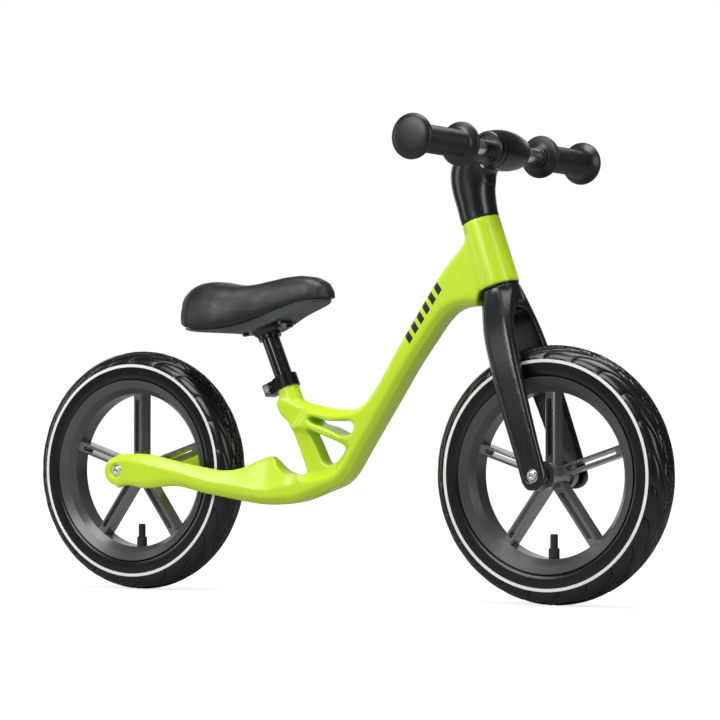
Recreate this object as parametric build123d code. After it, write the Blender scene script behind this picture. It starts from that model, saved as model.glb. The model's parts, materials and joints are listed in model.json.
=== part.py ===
from build123d import *
import math
import os

os.makedirs("parts", exist_ok=True)

# Driving dimensions of the bike, in millimetres.
wheelbase = 591.0
tyre_radius = 150.0
tyre_width = 50.0
head_angle = 71.9
seat_angle = 67.0
bar_width = 414.0
bar_radius = 9.5
grip_radius = 16.2
grip_flange_radius = 25.5
post_radius = 11.1
steerer_radius = 12.7

# Clearances shared by the parts that fit each other.
running_fit = 0.05
seat_fit = 0.05

# Wheels: five spokes, each a pair of rails, around a short hub.
rim_radius = 113.5
rim_bead_radius = 109.0
rim_well_radius = 103.0
rim_well_half = 9.0
rim_bead_half = 14.0
rim_bevel_radius = 103.5
rim_bevel_half = 19.5
rim_ridge_radius = 96.5
rim_ridge_half = 11.0
rim_width = 49.0
rim_flange = 3.0
spoke_count = 5
spoke_width = 12.5
spoke_rail = 3.5
spoke_depth = 22.0
spoke_bevel = 1.6
spoke_slot_start = 22.0
spoke_slot_end = 90.0
hub_radius = 14.0
hub_end_radius = 16.5
hub_width = 60.0
bearing_radius = 11.0
bearing_width = 7.0
hub_bore_radius = 6.5
ring_radius = 131.7
ring_width = 3.6
ring_height = 0.4
tyre_wall = 4.5
tube_wall = 1.5
tube_gap = 0.6
valve_angle = 270.0
valve_radius = 4.2
valve_collar_radius = 6.4
valve_cap_radius = 4.5

# Axles and the bolts in their ends.
axle_radius = 4.0
axle_width = 90.0
axle_bolt_radius = 3.0
bolt_head_radius = 6.0
bolt_head_height = 3.2
washer_radius = 7.6
washer_height = 1.2
recess_radius = 8.2
spacer_radius = 6.5
stay_end_width = 113.0
fork_end_width = 111.0
recess_depth = 4.6
end_radius = 18.0

# Frame tubes.
body_width = 40.0
top_bevel_down = 14.0
top_bevel_in = 9.0
low_bevel = 8.0
seat_tube_radius = 14.0
seat_bore_depth = 38.0
spigot_radius = 12.9
spigot_height = 14.5
seat_tube_top = 4.5
head_tube_low_radius = 24.5
head_tube_top_radius = 22.8
head_low = 230.4
head_high = 313.0
cup_radius = 18.0
cup_height = 10.0
cup_lip = 1.5
headset_bearing_radius = 16.0
headset_bearing_height = 7.0
crown_radius = 23.5
crown_gap = 0.8
lug_clear = 5.5
lug_drop = 18.0
arch_rise = 50.0
pocket_depth = 8.0
mast_depth = 4.5

# Saddle and its post.
post_top = 82.0
post_bottom = -16.0
post_wall = 2.2
collar_radius = 15.8
collar_height = 15.4
clamp_ear_reach = 29.0
clamp_ear_half = 9.5
clamp_bolt_reach = 22.0
clamp_bolt_radius = 2.5
socket_radius = 14.6
socket_low = 71.5
socket_roof = 8.0
flare_height = 5.0
flare_half_length = 24.0
flare_half_width = 16.5
bracket_slope = 13.0
bracket_length = 62.0
bracket_width = 40.0
bracket_height = 4.0
bracket_corner = 12.0
bracket_screw_x = 24.0
bracket_screw_y = 13.0
saddle_screw_radius = 2.0
saddle_screw_bite = 3.5

# Stem and handlebar.
stem_gap = 0.4
bar_ahead = 51.7
bar_high = 381.2
barrel_half = 35.0
barrel_end_radius = 20.0
barrel_radius = 24.2
barrel_edge = 1.2
groove_width = 1.6
dish_depth = 2.2
dish_rim = 3.5
quill_depth = 34.0
quill_radius = steerer_radius - 1.6 - seat_fit
wedge_height = 18.0
stem_bolt_radius = 3.0
clamp_screw_radius = 2.5
clamp_head_radius = 4.2
clamp_head_height = 3.0
clamp_seat = 12.0
clamp_bite = 10.0
clamp_side = 28.0
clamp_rise = 14.5
split_gap = 0.8
stem_foot = head_high + cup_lip + stem_gap
stem_bolt_seat = bar_high - 6.0
quill_top = head_high + 32.0
quill_low = head_high - quill_depth

axle_height = tyre_radius
front = Pos(wheelbase, 0, axle_height)
rear = Pos(0, 0, axle_height)
shift = Pos(-wheelbase / 2, 0, 0)
steer = front * Rot(0, head_angle - 90, 0)
seat_foot = Pos(224.0 + tyre_radius - 150.0, 0, 98.0 + axle_height)
seat_line = seat_foot * Rot(0, seat_angle - 90, 0)


def save(part, name):
    """Writes one node with the origin midway between the wheels."""
    moved = shift * part
    solids = moved.solids()
    whole = Compound(children=list(solids)) if len(solids) > 1 else moved.solid()
    export_step(whole, f"parts/{name}.step")


def tube(outer, inner, low, high):
    body = Pos(0, 0, low) * Cylinder(outer, high - low, align=(Align.CENTER, Align.CENTER, Align.MIN))
    if inner > 0:
        body -= Pos(0, 0, low) * Cylinder(inner, high - low, align=(Align.CENTER, Align.CENTER, Align.MIN))
    return body


def across(outer, inner, low, high):
    """A ring or rod along Y."""
    return Rot(-90, 0, 0) * tube(outer, inner, low, high)


def both_sides(part):
    return part + mirror(part, about=Plane.XZ)


def side_plate(outline, half):
    """A closed outline in the side view, given a thickness across the bike."""
    return extrude(Plane.XZ * outline, amount=half, both=True)


def spun(points):
    """A closed outline of radius and width, turned about the wheel's axle."""
    profile = make_face(Polyline([(r, w) for r, w in points], close=True))
    return Rot(-90, 0, 0) * revolve(Plane.XZ * profile, Axis.Z)


def wheel_rim():
    """The rim: a ridge inside, bevelled faces, a well and two flanges for the tyre."""
    half = rim_width / 2
    inner_flange = half - rim_flange
    side = [(rim_ridge_radius, rim_ridge_half), (rim_bevel_radius, rim_bevel_half), (rim_radius - 1, half),
            (rim_radius, half), (rim_radius, inner_flange), (rim_bead_radius, inner_flange),
            (rim_bead_radius, rim_bead_half), (rim_well_radius, rim_well_half)]
    ring = spun(side + [(r, -w) for r, w in reversed(side)])
    return ring - valve_line() * tube(valve_radius + seat_fit, 0, rim_ridge_radius - 20, rim_radius)


def wheel_spokes():
    """Hub and five spokes of two rails each, which end on the ridge of the rim."""
    hub = across(hub_radius, 0, -hub_width / 2, hub_width / 2)
    hub += both_sides(across(hub_end_radius, 0, hub_width / 2 - bearing_width - 4, hub_width / 2))
    slot_long = spoke_slot_end - spoke_slot_start
    slot_wide = spoke_width - 2 * spoke_rail
    spoke = Pos(rim_ridge_radius / 2, 0, 0) * Box(rim_ridge_radius, spoke_depth, spoke_width)
    spoke = chamfer(spoke.edges().filter_by(Axis.X), spoke_bevel)
    slot = Plane.XZ * Pos((spoke_slot_start + spoke_slot_end) / 2, 0) * SlotOverall(slot_long, slot_wide)
    spoke -= extrude(slot, amount=spoke_depth, both=True)
    body = hub
    for index in range(spoke_count):
        angle = 90 + index * 360 / spoke_count
        body += Rot(0, -angle, 0) * spoke
    body &= across(rim_ridge_radius - seat_fit, 0, -hub_width, hub_width)
    body -= across(hub_bore_radius, 0, -hub_width, hub_width)
    return body - both_sides(across(bearing_radius, 0, hub_width / 2 - bearing_width, hub_width))


def valve_line():
    """Local Z runs from the axle out along the valve."""
    return Rot(0, 90 - valve_angle, 0)


def tyre_section(offset):
    """Radius and width of one half of the tyre, moved in by offset."""
    half = tyre_width / 2 - offset
    crown = tyre_radius - offset
    return [(126.0, half), (137.0, half), (142.5, half - 2.4), (146.5, half - 8.0),
            (crown - 0.9 if offset == 0 else crown - 2.0, half - 15.0), (crown, 0)]


def tyre_carcass():
    bead = rim_width / 2 - rim_flange - seat_fit
    foot = rim_bead_radius + seat_fit
    outer = [(foot, 15.0), (foot, bead), (rim_radius + seat_fit, bead),
             (rim_radius + 0.6, rim_width / 2 - 0.4)]
    outer += tyre_section(0)
    inner = [(foot, 15.0), (114.0, 17.0), (124.0, tyre_width / 2 - tyre_wall),
             (134.0, tyre_width / 2 - tyre_wall), (141.0, 15.5), (tyre_radius - tyre_wall, 6.0)]
    ring = outer + [(r, -w) for r, w in reversed(outer) if w > 0]
    ring += inner_mirror(inner)
    return spun(ring)


def inner_mirror(points):
    """Walks the cavity from the far bead over the crown back to the near one."""
    far = [(r, -w) for r, w in points[1:]]
    near = [(r, w) for r, w in reversed(points[1:])]
    return far + near


def tyre_ring():
    half = tyre_width / 2
    low = ring_radius - ring_width / 2
    high = ring_radius + ring_width / 2
    return both_sides(across(high, low, half, half + ring_height))


def inner_tube():
    """A rubber ring tube with the hole its valve is bonded into."""
    reach = tyre_width / 2 - tyre_wall - tube_gap
    low = rim_well_radius + tube_gap
    crown = tyre_radius - tyre_wall - tube_gap
    outer = [(low, 0), (low, 8.0), (rim_bead_radius + 1, 13.5), (115.5, 16.0), (124.5, reach),
             (133.5, reach), (140.0, 15.0), (crown, 5.0)]
    inner = [(low + tube_wall, 0), (low + tube_wall, 7.2), (rim_bead_radius + 2, 12.4), (116.2, 14.6),
             (125.0, reach - tube_wall), (133.0, reach - tube_wall), (139.0, 13.8),
             (crown - tube_wall, 4.4)]
    outer_ring = spun(outer + [(r, -w) for r, w in reversed(outer) if w > 0])
    inner_ring = spun(inner + [(r, -w) for r, w in reversed(inner) if w > 0])
    hole = valve_line() * tube(valve_radius, 0, rim_well_radius - 3, rim_bead_radius + 3)
    return outer_ring - inner_ring - hole


def valve_stem():
    stem = tube(valve_radius, 1.6, 70, rim_well_radius + tube_gap + 4)
    collar = tube(valve_collar_radius, 1.6, 84, rim_ridge_radius - 0.3)
    collar = chamfer(collar.faces().sort_by(Axis.Z)[0].outer_wire().edges(), 1.2)
    return valve_line() * (stem + collar)


def valve_cap():
    cap = tube(valve_cap_radius, 0, 68, 83.6)
    cap = chamfer(cap.edges().sort_by(Axis.Z)[0], 1.0)
    return valve_line() * (cap - tube(valve_radius + seat_fit, 0, 69.6, 84))


def wheel_bearings():
    half = hub_width / 2
    outer = across(bearing_radius - seat_fit, 8.6, half - bearing_width, half)
    inner = across(6.6, axle_radius + running_fit, half - bearing_width, half)
    seal = across(8.6, 6.6, half - bearing_width + 0.5, half - 0.5)
    return both_sides(outer + inner + seal)


def bearing_spacer():
    half = hub_width / 2 - bearing_width - seat_fit
    return across(axle_radius + 1.9, axle_radius + running_fit, -half, half)


def wheel_axle():
    half = axle_width / 2
    rod = across(axle_radius, 0, -half, half)
    return rod - both_sides(across(axle_bolt_radius + seat_fit, 0, half - 16, half))


def axle_spacers():
    low = hub_width / 2 + 0.15
    sleeve = across(spacer_radius, axle_radius + seat_fit, low, axle_width / 2)
    return both_sides(sleeve)


def axle_bolts(end_width):
    """Domed bolts whose heads sit in the end recesses on their washers."""
    seat = end_width / 2 - recess_depth + washer_height
    head = across(bolt_head_radius, 0, seat, seat + bolt_head_height)
    head = fillet(head.edges().sort_by(Axis.Y)[-1], 2.4)
    shank = across(axle_bolt_radius, 0, axle_width / 2 - 12, seat)
    socket = across(2.3, 0, seat + bolt_head_height - 1.8, seat + bolt_head_height)
    return both_sides(head + shank - socket)


def axle_washers(end_width):
    seat = end_width / 2 - recess_depth
    return both_sides(across(washer_radius, axle_bolt_radius + seat_fit, seat, seat + washer_height))


def end_holes(end_width):
    seat = end_width / 2 - recess_depth
    hole = across(axle_bolt_radius + 0.15, 0, axle_width / 2 - 2, end_width)
    recess = across(recess_radius, 0, seat, end_width)
    return both_sides(hole + recess)


# Stay stations along the bike: place, top, bottom, mid crease, low crease heights,
# then the distances from the centre plane of the top edge, mid crease, low edge and inner face.
stay_stations = [
    (-26, 166.0, 131.5, 161.0, 135.5, 52.5, 56.5, 53.0, 45.0),
    (8, 170.5, 130.5, 162.5, 134.5, 52.5, 56.5, 53.0, 45.0),
    (36, 171.5, 128.5, 160.0, 135.5, 51.0, 55.5, 51.5, 44.0),
    (62, 168.0, 130.0, 155.0, 138.0, 48.0, 53.0, 48.5, 41.5),
    (90, 161.8, 131.0, 149.0, 138.0, 44.0, 49.5, 44.5, 38.0),
    (115, 157.0, 124.8, 142.5, 132.0, 39.0, 45.5, 40.0, 34.5),
    (136, 153.2, 120.5, 137.5, 128.5, 34.0, 41.0, 35.0, 30.5),
    (154, 152.0, 116.8, 134.5, 125.0, 29.0, 36.0, 29.0, 24.0),
    (170, 156.0, 113.6, 132.0, 122.0, 20.5, 31.0, 22.5, 13.5),
    (183, 163.0, 111.2, 130.0, 120.0, 12.0, 27.0, 17.0, 4.0),
    (197, 168.5, 109.8, 128.5, 118.5, 5.8, 24.0, 14.0, -2.0),
    (215, 166.5, 109.8, 130.0, 118.5, 7.5, 22.3, 12.5, -2.0),
    (232, 157.0, 111.6, 134.0, 119.8, 13.0, 20.9, 12.0, -2.0),
    (250, 147.8, 115.4, 138.5, 123.2, 19.2, 20.05, 12.2, -2.0),
]


def moved_along(x):
    """Keeps the yoke clear of the rear tyre and the head tube over the front wheel when a size changes."""
    rear_move = tyre_radius - 150.0
    front_move = wheelbase - 591.0
    share = min(max((x - 250.0) / 100.0, 0.0), 1.0)
    start = min(max((x - 40.0) / 110.0, 0.0), 1.0)
    return x + start * (1 - share) * rear_move + share * front_move


def side_points(points):
    return [(moved_along(x), z + axle_height - 150.0) for x, z in points]


def side_line(*points):
    return Line(*side_points(points))


def side_curve(points):
    return Spline(side_points(points))


def stay_section(station):
    x, top, low, crease, low_crease, y_top, y_mid, y_low, y_in = station
    lift = axle_height - 150.0
    points = [(-y_in, top), (-y_top, top), (-y_mid, crease), (-y_mid + 0.6, low_crease), (-y_low, low),
              (-y_in, low)]
    points = [(y, z + lift) for y, z in points]
    plane = Plane(origin=(moved_along(x), 0, 0), x_dir=(0, 1, 0), z_dir=(1, 0, 0))
    return plane * make_face(Polyline(points, close=True))


def stays():
    """Both stays and the arched yoke they run into, trimmed to the side view."""
    both = both_sides(loft([stay_section(station) for station in stay_stations]))
    corners = [(0, 190), (0, 100), (-60, 100), (-60, 190)]
    nose = side_plate(make_face(Polyline(side_points(corners), close=True)), 80)
    nose -= Pos(0, 0, axle_height) * across(end_radius, 0, -80, 80)
    both -= nose
    notch_curve = side_curve([(203, 168.2), (210, 160.5), (216, 153.8), (224, 148.8), (236, 146.2),
                              (252, 146.8)])
    notch = make_face([notch_curve, side_line((252, 146.8), (252, 190)), side_line((252, 190), (203, 190)),
                       side_line((203, 190), (203, 168.2))])
    return both - side_plate(notch, 30)


def body_outline():
    """The side view of the mast, its struts and the seat lug."""
    low = side_curve([(244, 113.6), (255, 117), (268, 121.5), (283, 127), (298, 132.3), (307, 137),
                      (314, 143), (321, 151), (330, 164.5), (349, 193), (369, 222.5), (389, 252),
                      (410, 282.5), (429, 307), (439, 320), (449, 331.5), (459, 340), (469, 344.8),
                      (480, 346.8), (497, 346.5)])
    top = side_curve([(476, 437), (476.5, 428), (473, 420), (465, 410.5), (455, 400.5), (445, 388.5),
                      (425, 361.5), (405, 331.5), (385, 302), (366, 272), (355, 255), (345, 242.3),
                      (335, 232.8), (325, 228), (313, 226), (298, 226.5), (284, 228.3), (270, 230.8),
                      (258, 233.2), (246, 237)])
    back = side_curve([(219, 240), (214.6, 236), (215.6, 228.5), (220, 220.5), (226, 215), (231.5, 211)])
    heel = side_curve([(255, 157), (256.2, 152.5), (254.5, 148.3), (250, 146.6), (244, 146.3)])
    head = [side_line((497, 346.5), (502, 363)), side_line((502, 363), (518, 372)),
            side_line((518, 372), (500, 436)), side_line((500, 436), (476, 437))]
    lug = [side_line((246, 237), (232, 242)), side_line((232, 242), (219, 240)), back]
    foot = [side_line((231.5, 211), (255, 157)), heel, side_line((244, 146.3), (244, 113.6))]
    return make_face([low, *head, top, *lug, *foot])


def openings():
    """The slot under the top strut and the opening between the two lower struts."""
    slot = side_curve([(262, 216.8), (263.4, 213.2), (280, 206.2), (300, 198.6), (316, 193.8), (322, 195.5),
                       (327, 201.5), (329, 207), (325.5, 210.6), (300, 212), (280, 214.6), (266, 217.6),
                       (262, 216.8)])
    lower = side_curve([(260, 199), (262.5, 195.0), (275.5, 170), (282, 160.8), (291, 159.6), (302, 165),
                        (311, 176), (312.4, 180.5), (308, 184.4), (290, 192.0), (268, 201.0),
                        (261.5, 202.4), (260, 199)])
    return side_plate(make_face(slot), 40) + side_plate(make_face(lower), 40)


def bevelled_plate():
    half = body_width / 2
    plate = side_plate(body_outline(), half)
    long_edges = [e for e in plate.edges() if abs(abs(e.center().Y) - half) < 0.01 and e.length > 250]
    long_edges = sorted(long_edges, key=lambda e: e.center().Z)
    plate = chamfer(long_edges[:2], low_bevel)
    for side in (1, -1):
        flat = [f for f in plate.faces() if abs(f.center().Y - half * side) < 0.01][0]
        edges = [e for e in plate.edges() if abs(e.center().Y - half * side) < 0.01 and e.length > 250]
        edge = sorted(edges, key=lambda e: e.center().Z)[-1]
        plate = chamfer(edge, top_bevel_in, top_bevel_down, reference=flat)
    return plate


def side_pocket(region, depth, slope):
    """A recess in both side faces whose walls slope inwards."""
    outline = Plane.XZ * make_face(Polyline(side_points(region), close=True))
    return both_sides(extrude(Pos(0, -body_width / 2, 0) * outline, amount=-depth, taper=slope))


def side_pockets():
    """Thins the seat strut around the lower opening, and the mast around the seat tube."""
    strut = [(215, 211), (256, 204), (318, 188.5), (325, 182), (318, 168), (304, 150.5), (290, 143.5),
             (262, 139.0), (240, 143), (215, 150)]
    mast = [(190, 275), (190, 190), (236, 190), (262, 222), (262, 275)]
    return side_pocket(strut, pocket_depth, 45) + side_pocket(mast, mast_depth, 60)


def head_tube():
    return Pos(0, 0, head_low) * Cone(head_tube_low_radius, head_tube_top_radius, head_high - head_low,
                                      align=(Align.CENTER, Align.CENTER, Align.MIN))


def frame_part():
    body = bevelled_plate() - openings() - side_pockets()
    body += stays()
    body += seat_line * tube(seat_tube_radius, 0, -30, seat_tube_top)
    body += seat_line * tube(spigot_radius, 0, seat_tube_top - 1, seat_tube_top + spigot_height)
    swing = Cone(crown_radius + lug_clear, crown_radius + crown_gap, lug_drop,
                 align=(Align.CENTER, Align.CENTER, Align.MIN))
    swing = Pos(0, 0, head_low - lug_drop) * swing
    body -= steer * swing
    body -= steer * tube(crown_radius + lug_clear, 0, head_low - 60, head_low - lug_drop)
    body += steer * head_tube()
    body -= steer * tube(steerer_radius + 2.3, 0, head_low - 1, head_high + 1)
    body -= steer * tube(cup_radius, 0, head_low - 5, head_low + cup_height)
    body -= steer * tube(cup_radius, 0, head_high - cup_height, head_high + 5)
    body -= seat_line * tube(post_radius + running_fit, 0, seat_tube_top - seat_bore_depth, 40)
    slit = Pos(-20, 0, 5) * Box(40, 2.0, 40, align=(Align.CENTER, Align.CENTER, Align.MIN))
    body -= seat_line * Pos(0, 0, seat_tube_top - 4) * slit
    body -= rear * across(end_radius + 8, 0, -axle_width / 2, axle_width / 2)
    body -= rear * end_holes(stay_end_width)
    port = extrude(SlotOverall(26, 13), amount=20)
    return body - Pos(moved_along(276), 0, 112 + axle_height - 150) * Rot(0, -22, 0) * port


def headset_cups(upper):
    """A cup with its bearing seat and an outer lip, for the top or the bottom of the head tube."""
    outer = cup_radius - seat_fit
    bore = headset_bearing_radius + seat_fit
    throat = steerer_radius + 1.2
    if upper:
        low = head_high - cup_height + 0.1
        shelf = head_high - headset_bearing_height - 0.1
        cup = tube(outer, bore, low, head_high) + tube(outer, throat, low, shelf)
        return cup + tube(head_tube_top_radius - 0.4, bore, head_high + 0.02, head_high + cup_lip)
    high = head_low + cup_height - 0.1
    shelf = head_low + headset_bearing_height + 0.1
    cup = tube(outer, bore, head_low, high) + tube(outer, throat, shelf, high)
    return cup + tube(crown_radius - 0.4, bore, head_low - cup_lip, head_low - 0.02)


def headset_bearing(low):
    return tube(headset_bearing_radius, steerer_radius + running_fit, low, low + headset_bearing_height)


# Fork leg stations up the steering line: place, outer and inner distance from the centre plane,
# rear and front reach from the steering line, then the rear bevel's width and length and the front bevel.
leg_stations = [
    (-24, 55.5, 45.0, -17.0, 17.0, 5.8, 7.5, 3.6),
    (0, 55.5, 45.0, -17.0, 17.0, 5.8, 7.5, 3.6),
    (30, 54.8, 45.0, -17.6, 17.4, 5.6, 7.5, 3.4),
    (60, 53.5, 43.0, -18.8, 17.8, 5.8, 7.5, 3.6),
    (100, 51.0, 39.0, -20.2, 18.4, 6.6, 7.5, 4.0),
    (135, 47.8, 31.0, -21.4, 18.8, 9.0, 7.5, 4.5),
    (160, 44.0, 22.0, -22.2, 19.0, 9.5, 7.5, 4.5),
    (182, 38.5, 10.0, -22.4, 19.6, 9.6, 8.0, 5.5),
    (200, 31.5, 4.0, -22.6, 20.8, 10.5, 9.5, 7.5),
    (213, 26.4, 1.0, -22.8, 22.0, 12.0, 11.6, 10.5),
    (224, 22.8, 0.0, -22.8, 22.8, 13.5, 13.5, 13.5),
]


def leg_section(station):
    place, outer, inner, back, ahead, rear_bevel, rear_run, front_bevel = station
    points = [(back + 1.0, -inner), (back, -outer + rear_bevel), (back + rear_run, -outer),
              (ahead - front_bevel, -outer), (ahead, -outer + front_bevel), (ahead - 1.0, -inner)]
    return Pos(0, 0, place) * make_face(Polyline(points, close=True))


def fork_part():
    """Crown, steerer and both faceted legs in one casting."""
    lift = tyre_radius - 150.0
    stations = [(s + lift * (s > 0), *rest) for s, *rest in leg_stations]
    leg = loft([leg_section(s) for s in stations])
    crown_top = head_low - cup_lip - 0.4
    body = both_sides(leg) + tube(crown_radius, 0, head_low - 24, crown_top)
    arch_half = tyre_width / 2 + 5.5
    arch_foot = tyre_radius
    arch = Pos(0, 0, arch_foot) * extrude(Plane.YZ * Ellipse(arch_half, arch_rise), amount=60, both=True)
    arch += Pos(0, 0, arch_foot / 2 - 40) * Box(120, 2 * arch_half, arch_foot + 80)
    body -= arch
    foot = Pos(0, 0, -40) * Box(80, 140, 80) - across(17.0, 0, -80, 80)
    foot -= Pos(0, 0, 20) * Box(80, 140, 40)
    body -= foot
    body += tube(steerer_radius, 0, crown_top - 16, head_high + 30)
    body -= tube(steerer_radius - 1.6, 0, crown_top - 12, head_high + 40)
    body -= across(end_radius + 4, 0, -axle_width / 2, axle_width / 2)
    body -= tube(4.0, 0, arch_foot, crown_top)
    body -= end_holes(fork_end_width)
    return steer * body


# Neck sections: forward and upward place, tilt, then half the length along the bike and across it.
neck_stations = [
    (0.0, stem_foot, 0, 22.6, 22.6),
    (0.9, stem_foot + 15, 0, 23.7, 23.0),
    (2.4, stem_foot + 30, 5, 25.3, 23.5),
    (7.0, stem_foot + 50, 35, 28.6, 24.0),
    (20.0, bar_high - 4.2, 62, 25.2, 24.0),
    (42.0, bar_high, 85, 23.0, 23.5),
]


def neck_section(station):
    ahead, up, tilt, along_bike, across_bike = station
    return Pos(ahead, 0, up) * Rot(0, tilt, 0) * Ellipse(along_bike, across_bike)


def barrel_shape():
    """The waisted barrel around the bar, with two grooves at its right end."""
    end = barrel_half - barrel_edge
    foot = Polyline([(0, -barrel_half), (barrel_end_radius - barrel_edge, -barrel_half),
                     (barrel_end_radius, -end)])
    curve = Spline([(barrel_end_radius, -end), (barrel_radius - 1.0, -16), (barrel_radius, 0),
                    (barrel_radius - 1.0, 16), (barrel_end_radius, end)])
    rest = Polyline([(barrel_end_radius, end), (barrel_end_radius - barrel_edge, barrel_half),
                     (0, barrel_half), (0, -barrel_half)])
    body = Rot(-90, 0, 0) * revolve(Plane.XZ * make_face([foot, curve, rest]), Axis.Z)
    for place, floor_radius in ((-31.6, 19.2), (-23.2, 20.8)):
        body -= across(barrel_radius + 3, floor_radius, place, place + groove_width)
    dish = across(barrel_end_radius - dish_rim, 0, barrel_half - dish_depth, barrel_half + 1)
    return Pos(bar_ahead, 0, bar_high) * (body - both_sides(dish))


def bar_hole():
    return Pos(bar_ahead, 0, bar_high) * across(bar_radius + seat_fit, 0, -60, 60)


def clamp_screw_lines():
    """Local Z runs forwards through the split of the barrel."""
    return [Pos(bar_ahead, side * clamp_side, bar_high + high * clamp_rise) * Rot(0, 90, 0)
            for side in (1, -1) for high in (1, -1)]


def stem_part():
    """The neck and the rear half of the barrel, with the quill that goes down the steerer."""
    ahead = (Align.MIN, Align.CENTER, Align.CENTER)
    neck = loft([neck_section(station) for station in neck_stations])
    neck -= Pos(bar_ahead, 0, bar_high) * Box(60, 120, 80, align=ahead)
    body = neck + barrel_shape()
    body -= Pos(bar_ahead - split_gap / 2, 0, bar_high) * Box(80, 120, 80, align=ahead)
    body -= bar_hole()
    body -= tube(steerer_radius + seat_fit, 0, stem_foot - 1, head_high + 31)
    body += tube(quill_radius, 0, quill_low, quill_top)
    body -= tube(stem_bolt_radius + 0.2, 0, quill_low - 1, stem_bolt_seat + 1)
    body -= tube(bolt_head_radius + 0.3, 0, stem_bolt_seat, bar_high + 60)
    for line in clamp_screw_lines():
        body -= line * tube(clamp_screw_radius + seat_fit, 0, -clamp_seat - 1, 2)
        body -= line * tube(clamp_head_radius + 0.2, 0, -40, -clamp_seat)
    return steer * body


def bar_clamp():
    """The front half of the barrel, threaded for screws that come from behind."""
    keep = Box(80, 120, 80, align=(Align.MIN, Align.CENTER, Align.CENTER))
    body = (barrel_shape() & Pos(bar_ahead + split_gap / 2, 0, bar_high) * keep) - bar_hole()
    for line in clamp_screw_lines():
        body -= line * tube(clamp_screw_radius + seat_fit, 0, -1, clamp_bite + 1)
    return steer * body


def clamp_screws():
    screw = tube(clamp_screw_radius, 0, -clamp_seat, clamp_bite)
    screw += tube(clamp_head_radius, 1.6, -clamp_seat - clamp_head_height, -clamp_seat - 1)
    screw += tube(clamp_head_radius, 0, -clamp_seat - 1, -clamp_seat)
    return steer * Compound(children=[line * screw for line in clamp_screw_lines()])


def stem_bolt():
    bolt = tube(stem_bolt_radius, 0, quill_low - wedge_height + 4, stem_bolt_seat)
    bolt += tube(bolt_head_radius, 0, stem_bolt_seat, stem_bolt_seat + 6)
    return steer * (bolt - tube(2.5, 0, stem_bolt_seat + 3, stem_bolt_seat + 7))


def stem_wedge():
    low = quill_low - wedge_height
    return steer * tube(quill_radius, stem_bolt_radius + seat_fit, low, low + wedge_height - 0.1)


def handlebar():
    half = bar_width / 2 - 6
    body = Pos(bar_ahead, 0, bar_high) * across(bar_radius, bar_radius - 1.8, -half, half)
    return steer * body


def grip(side):
    """Flange, neck and barrel of one soft grip."""
    end = bar_width / 2
    r = grip_flange_radius
    outline = [(bar_radius + seat_fit, 86), (12.4, 86), (13.4, 92.5), (r - 1.5, 93), (r, 94.6),
               (r - 0.6, 97.2), (grip_radius + 3.5, 99.5), (grip_radius, 103), (grip_radius, end - 22),
               (grip_radius + 2.5, end - 15), (r - 0.8, end - 9), (r + 0.5, end - 7), (r + 0.5, end - 4.5),
               (r - 3, end - 1.4), (r - 10, end), (0, end), (0, end - 5), (bar_radius + seat_fit, end - 5)]
    profile = make_face(Polyline(outline, close=True))
    body = Rot(-90, 0, 0) * revolve(Plane.XZ * profile, Axis.Z)
    if side < 0:
        body = mirror(body, about=Plane.XZ)
    return steer * Pos(bar_ahead, 0, bar_high) * body


def clamp_bolt_line():
    return Pos(-clamp_bolt_reach, 0, seat_tube_top + collar_height / 2) * Rot(90, 0, 0)


def seat_clamp():
    """A slit collar with a pair of ears drawn together by its bolt."""
    low = seat_tube_top + 0.1
    upward = (Align.MIN, Align.CENTER, Align.MIN)
    ear = Box(clamp_ear_reach, 2 * clamp_ear_half, collar_height, align=upward)
    ear = Pos(-clamp_ear_reach, 0, low) * ear
    ear = fillet(ear.edges().filter_by(Axis.Y).group_by(Axis.X)[0], 2.0)
    body = tube(collar_radius, 0, low, low + collar_height) + ear
    body -= tube(spigot_radius + seat_fit, 0, low - 1, seat_tube_top + spigot_height + seat_fit)
    body -= tube(post_radius + 0.3, 0, low, low + 30)
    body -= Pos(-30, 0, low) * Box(30, 2.0, 60)
    body -= clamp_bolt_line() * tube(clamp_bolt_radius + seat_fit, 0, -30, 30)
    return seat_line * body


def seat_clamp_bolt():
    seat = clamp_ear_half + 0.02
    head = tube(4.4, 0, seat, seat + 4.6) - tube(2.0, 0, seat + 2.0, seat + 6)
    shank = tube(clamp_bolt_radius, 0, -clamp_ear_half - 4.5, seat + 0.5)
    return seat_line * clamp_bolt_line() * (head + shank)


def seat_clamp_nut():
    nut = extrude(RegularPolygon(4.4, 6), amount=4.0)
    nut -= tube(clamp_bolt_radius + seat_fit, 0, -1, 6)
    return seat_line * clamp_bolt_line() * Pos(0, 0, -clamp_ear_half - 4.02) * nut


def seat_post():
    return seat_line * tube(post_radius, post_radius - post_wall, post_bottom, post_top)


def saddle_curve(points):
    return Spline([(x + seat_foot.position.X - 224.0, z + seat_foot.position.Z - 248.0) for x, z in points])


def plan_outline(inset):
    """Half of the saddle's plan: broad tail, waisted, round nose."""
    points = [(76.5, 0), (80, -22), (90, -42), (106, -55), (128, -62), (150, -61), (172, -52), (194, -40.5),
              (216, -32), (240, -27), (262, -24), (277, -18), (285, -9), (287, 0)]
    centre = 175.0
    length = 105.25
    shrink = 1 - inset / length
    shift = seat_foot.position.X - 224.0
    narrow = 1 - inset / 62.0
    moved = [(centre + (x - centre) * shrink + shift, y * narrow) for x, y in points]
    half = Spline(moved)
    face = make_face([half, Line(half @ 1, half @ 0)])
    return face + mirror(face, about=Plane.XZ)


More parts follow.
